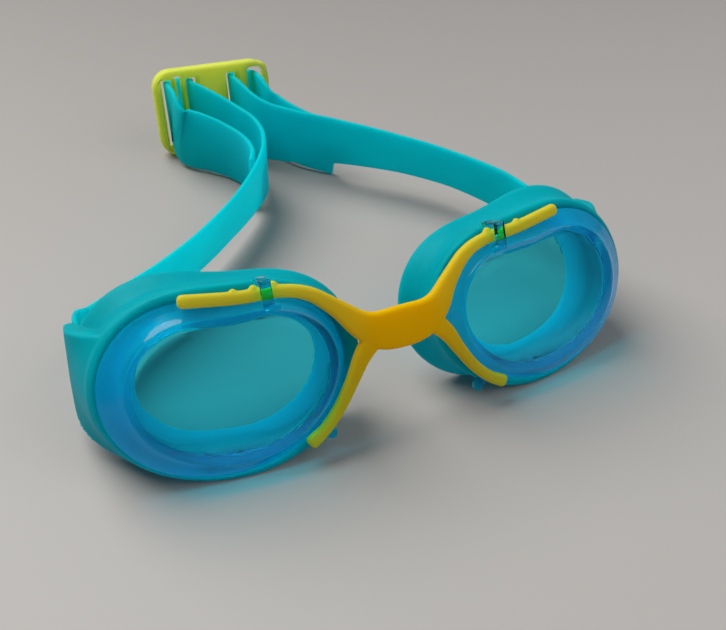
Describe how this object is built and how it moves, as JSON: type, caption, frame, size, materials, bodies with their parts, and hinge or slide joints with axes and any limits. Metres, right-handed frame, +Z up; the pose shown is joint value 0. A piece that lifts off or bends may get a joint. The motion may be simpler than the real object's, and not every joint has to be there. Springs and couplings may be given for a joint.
{
  "type": "swim goggles",
  "caption": "Swim goggles with clear-blue rigid eye cups, soft teal seals, a Y-armed toothed nose bridge and a teal strap threaded through a slotted buckle",
  "frame": {"origin": "on the table under the middle of the bounding box", "axes": "+X across the face, +Y from the lenses back to the buckle, +Z up from the table"},
  "size_m": [0.1466, 0.165, 0.0424],
  "materials": {
    "lens": "clear blue, polished",
    "silicone": "satin teal silicone",
    "bridge": "satin yellow, flexible",
    "buckle": "satin yellow, slightly translucent"
  },
  "bodies": {
    "bridge": {"nose_bridge": "bridge"},
    "right_cup": {"lens_right": "lens", "seal_right": "silicone"},
    "left_cup": {"lens_left": "lens", "seal_left": "silicone"},
    "strap": {"strap_left": "silicone", "strap_right": "silicone", "buckle": "buckle"}
  },
  "joints": [
    {"name": "right_cup_slide", "type": "slide", "parent": "bridge", "child": "right_cup", "axis": [0.9968, 0.0708, -0.0376], "range_m": [0, 0.0045], "deforming": ["strap_right"]},
    {"name": "left_cup_slide", "type": "slide", "parent": "bridge", "child": "left_cup", "axis": [-0.9968, 0.0708, -0.0376], "range_m": [0, 0.0045], "deforming": ["strap_left"]},
    {"name": "strap_flex", "type": "hinge", "parent": "bridge", "child": "strap", "pos_m": [0, -0.02795, 0.0172], "axis": [1, 0, 0], "range_deg": [0, 60], "deforming": ["strap_left", "strap_right"]}
  ]
}
